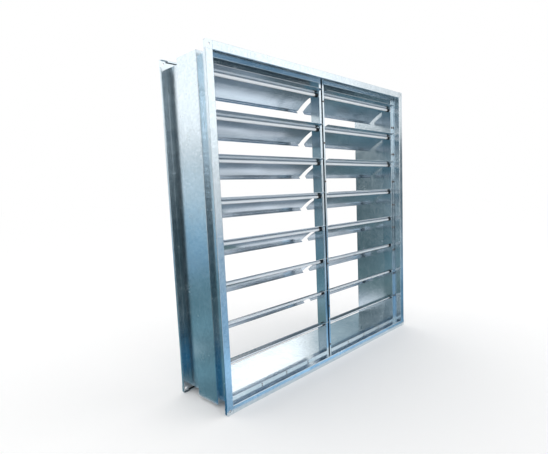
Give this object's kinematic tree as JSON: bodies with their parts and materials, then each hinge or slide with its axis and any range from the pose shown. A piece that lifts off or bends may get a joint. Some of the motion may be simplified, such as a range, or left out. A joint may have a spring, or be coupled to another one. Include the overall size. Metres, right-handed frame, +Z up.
{
  "type": "multi-blade duct non-return damper",
  "caption": "Square flanged duct damper whose linked gravity blades swing open with the flow and fall shut against reverse flow.",
  "frame": {"origin": "centre of the footprint of the casing, on the lower edges of the bottom flanges", "axes": "+X to the right seen from the inlet, +Y with the air from inlet to outlet, +Z up"},
  "size_m": [1.26, 0.28, 1.26],
  "materials": {
    "galvanised_casing": "bright galvanised",
    "galvanised_frame": "bright galvanised",
    "galvanised_blade": "bright galvanised",
    "zinc_plated_corner": "zinc plated",
    "bright_shaft": "bright drawn",
    "linkage_steel": "zinc plated",
    "bush_plastic": "moulded"
  },
  "bodies": {
    "casing": {"left_casing_panel": "galvanised_casing", "left_band": "galvanised_casing", "right_casing_panel": "galvanised_casing", "right_band": "galvanised_casing", "top_casing_panel": "galvanised_casing", "top_band": "galvanised_casing", "bottom_casing_panel": "galvanised_casing", "bottom_band": "galvanised_casing", "front_top_left_corner": "zinc_plated_corner", "front_top_right_corner": "zinc_plated_corner", "front_bottom_left_corner": "zinc_plated_corner", "front_bottom_right_corner": "zinc_plated_corner", "rear_top_left_corner": "zinc_plated_corner", "rear_top_right_corner": "zinc_plated_corner", "rear_bottom_left_corner": "zinc_plated_corner", "rear_bottom_right_corner": "zinc_plated_corner", "left_jamb": "galvanised_frame", "right_jamb": "galvanised_frame", "mullion": "galvanised_frame", "top_left_rail": "galvanised_frame", "top_right_rail": "galvanised_frame", "bottom_left_rail": "galvanised_frame", "bottom_right_rail": "galvanised_frame", "left_jamb_bushes": "bush_plastic", "right_jamb_bushes": "bush_plastic", "mullion_bushes": "bush_plastic"},
    "row_1": {"shaft_1": "bright_shaft", "left_blade_1": "galvanised_blade", "right_blade_1": "galvanised_blade", "crank_arm_1": "linkage_steel"},
    "row_2": {"shaft_2": "bright_shaft", "left_blade_2": "galvanised_blade", "right_blade_2": "galvanised_blade", "crank_arm_2": "linkage_steel"},
    "row_3": {"shaft_3": "bright_shaft", "left_blade_3": "galvanised_blade", "right_blade_3": "galvanised_blade", "crank_arm_3": "linkage_steel"},
    "row_4": {"shaft_4": "bright_shaft", "left_blade_4": "galvanised_blade", "right_blade_4": "galvanised_blade", "crank_arm_4": "linkage_steel"},
    "row_5": {"shaft_5": "bright_shaft", "left_blade_5": "galvanised_blade", "right_blade_5": "galvanised_blade", "crank_arm_5": "linkage_steel"},
    "row_6": {"shaft_6": "bright_shaft", "left_blade_6": "galvanised_blade", "right_blade_6": "galvanised_blade", "crank_arm_6": "linkage_steel"},
    "row_7": {"shaft_7": "bright_shaft", "left_blade_7": "galvanised_blade", "right_blade_7": "galvanised_blade", "crank_arm_7": "linkage_steel"},
    "row_8": {"shaft_8": "bright_shaft", "left_blade_8": "galvanised_blade", "right_blade_8": "galvanised_blade", "crank_arm_8": "linkage_steel"},
    "tie_bar": {"tie_bar": "linkage_steel"}
  },
  "joints": [
    {"name": "row_1_hinge", "type": "hinge", "parent": "casing", "child": "row_1", "pos_m": [0, -0.08, 1.17543], "axis": [1, 0, 0], "range_deg": [-57.5, 25]},
    {"name": "row_2_hinge", "type": "hinge", "parent": "casing", "child": "row_2", "pos_m": [0, -0.08, 1.03046], "axis": [1, 0, 0], "range_deg": [-57.5, 25]},
    {"name": "row_3_hinge", "type": "hinge", "parent": "casing", "child": "row_3", "pos_m": [0, -0.08, 0.8855], "axis": [1, 0, 0], "range_deg": [-57.5, 25]},
    {"name": "row_4_hinge", "type": "hinge", "parent": "casing", "child": "row_4", "pos_m": [0, -0.08, 0.74054], "axis": [1, 0, 0], "range_deg": [-57.5, 25]},
    {"name": "row_5_hinge", "type": "hinge", "parent": "casing", "child": "row_5", "pos_m": [0, -0.08, 0.59558], "axis": [1, 0, 0], "range_deg": [-57.5, 25]},
    {"name": "row_6_hinge", "type": "hinge", "parent": "casing", "child": "row_6", "pos_m": [0, -0.08, 0.45062], "axis": [1, 0, 0], "range_deg": [-57.5, 25]},
    {"name": "row_7_hinge", "type": "hinge", "parent": "casing", "child": "row_7", "pos_m": [0, -0.08, 0.30566], "axis": [1, 0, 0], "range_deg": [-57.5, 25]},
    {"name": "row_8_hinge", "type": "hinge", "parent": "casing", "child": "row_8", "pos_m": [0, -0.08, 0.1607], "axis": [1, 0, 0], "range_deg": [-57.5, 25]},
    {"name": "tie_bar_pivot", "type": "hinge", "parent": "row_1", "child": "tie_bar", "pos_m": [-0.5929, -0.06109, 1.18194], "axis": [1, 0, 0], "range_deg": [-25, 57.5]}
  ],
  "couplings": [
    {"joint": "row_2_hinge", "follows": "row_1_hinge", "ratio": 1},
    {"joint": "row_3_hinge", "follows": "row_1_hinge", "ratio": 1},
    {"joint": "row_4_hinge", "follows": "row_1_hinge", "ratio": 1},
    {"joint": "row_5_hinge", "follows": "row_1_hinge", "ratio": 1},
    {"joint": "row_6_hinge", "follows": "row_1_hinge", "ratio": 1},
    {"joint": "row_7_hinge", "follows": "row_1_hinge", "ratio": 1},
    {"joint": "row_8_hinge", "follows": "row_1_hinge", "ratio": 1},
    {"joint": "tie_bar_pivot", "follows": "row_1_hinge", "ratio": -1}
  ]
}
